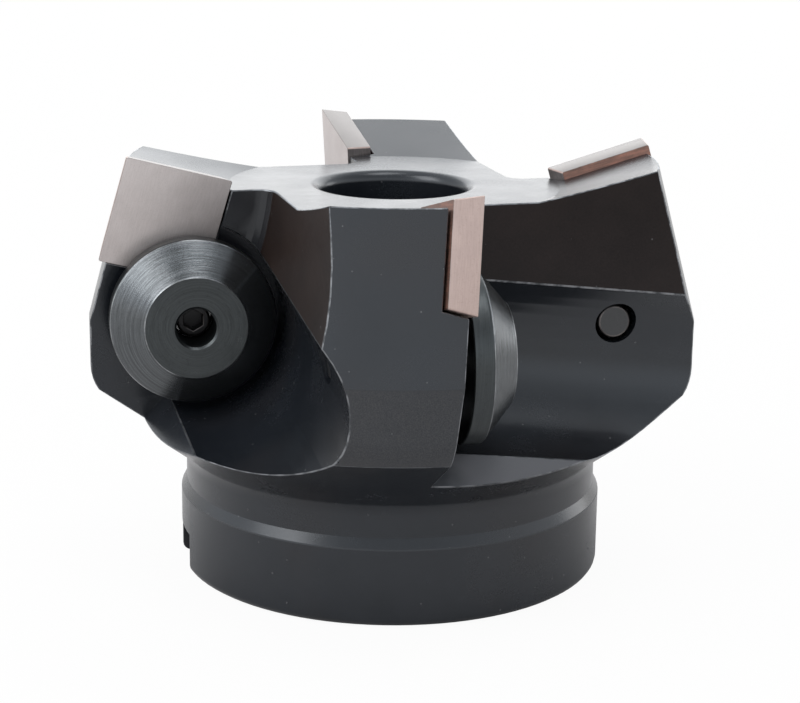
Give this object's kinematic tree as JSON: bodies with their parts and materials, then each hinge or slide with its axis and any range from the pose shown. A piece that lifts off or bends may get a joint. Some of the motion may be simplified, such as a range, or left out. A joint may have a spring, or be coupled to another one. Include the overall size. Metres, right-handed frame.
{
  "type": "indexable face mill",
  "caption": "Shell face mill for metal cutting, with square carbide inserts standing in deep chip gullets and held by round screw clamps.",
  "frame": {"origin": "on the spindle axis, in the plane of the hub's back face", "axes": "+Z along the spindle axis towards the cutting end; +X through the tip of insert 3, so insert 4 is on +Y, insert 1 on -X and insert 2 on -Y"},
  "size_m": [0.0716, 0.0716, 0.0502],
  "materials": {
    "body_steel": "black oxide, satin",
    "carbide": "ground carbide, satin",
    "clamp_steel": "turned and hardened, fine rings",
    "screw_steel": "black oxide, satin"
  },
  "bodies": {
    "root": {"cutter_body": "body_steel", "insert_1": "carbide", "insert_2": "carbide", "insert_3": "carbide", "insert_4": "carbide", "clamp_1": "clamp_steel", "clamp_2": "clamp_steel", "clamp_3": "clamp_steel", "clamp_4": "clamp_steel", "clamp_screw_1": "screw_steel", "clamp_screw_2": "screw_steel", "clamp_screw_3": "screw_steel", "clamp_screw_4": "screw_steel"}
  },
  "joints": []
}
